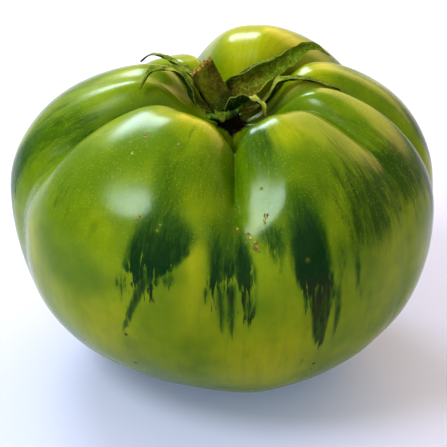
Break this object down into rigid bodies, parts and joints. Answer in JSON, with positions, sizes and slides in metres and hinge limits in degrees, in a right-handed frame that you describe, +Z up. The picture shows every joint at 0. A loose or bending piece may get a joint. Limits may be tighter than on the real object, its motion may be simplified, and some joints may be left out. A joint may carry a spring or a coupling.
{
  "type": "ribbed green tomato",
  "caption": "Large ribbed tomato, green with dark stripes, picked with its leafy calyx and a short cut stem, resting on its flat underside.",
  "frame": {"origin": "centre of the bounding box's bottom, level with the small flat spot under the fruit", "axes": "+Z up from the foot to the stem; -Y faces the side with the deepest seam; +X to the right when looking at that side"},
  "size_m": [0.0948, 0.09, 0.072],
  "materials": {
    "skin": "smooth waxy gloss",
    "sepal": "dull, finely hairy",
    "stalk": "dull, finely hairy"
  },
  "bodies": {
    "root": {"fruit": "skin", "calyx": "sepal", "stem": "stalk"}
  },
  "joints": []
}
